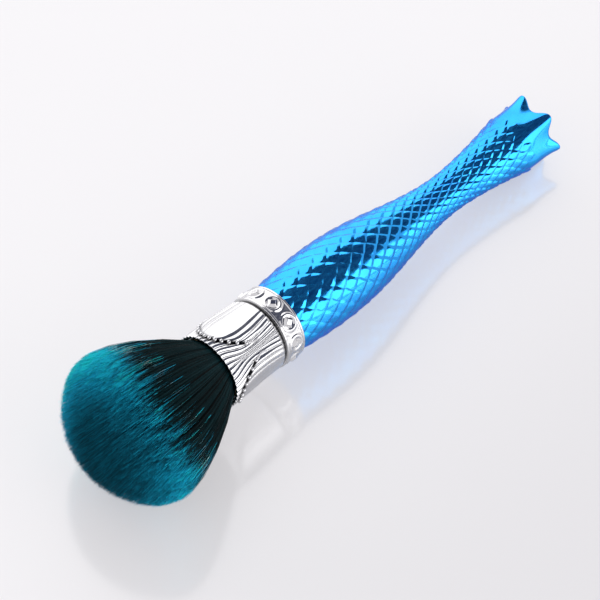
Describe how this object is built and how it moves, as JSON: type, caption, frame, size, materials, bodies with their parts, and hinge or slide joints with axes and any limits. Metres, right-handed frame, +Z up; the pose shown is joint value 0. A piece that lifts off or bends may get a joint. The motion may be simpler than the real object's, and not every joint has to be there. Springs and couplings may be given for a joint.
{
  "type": "dusting brush",
  "caption": "Soft round dusting brush with a dense domed tuft, a draped metal ferrule and a waisted fish-scale handle ending in a fluted tail.",
  "frame": {"origin": "middle of the brush's length and width, on the surface it lies on", "axes": "+X from tuft to tail along the brush, +Z up, with the brush lying on its tuft and two tail points"},
  "size_m": [0.1976, 0.0518, 0.0522],
  "materials": {
    "synthetic_fibre": "soft synthetic filament, near black at the root and teal at the tip",
    "epoxy": "cured resin",
    "liner_aluminium": "drawn tube",
    "chrome_plate": "bright plated",
    "tang_plastic": "moulded",
    "blue_plate": "metallised mirror blue over moulded plastic"
  },
  "bodies": {
    "root": {"bristle_tuft": "synthetic_fibre", "glue_plug": "epoxy", "ferrule_liner": "liner_aluminium", "ferrule_sleeve": "chrome_plate", "collar_ring": "chrome_plate", "handle_tang": "tang_plastic", "handle_shell": "blue_plate", "tail_fin": "blue_plate"}
  },
  "joints": []
}
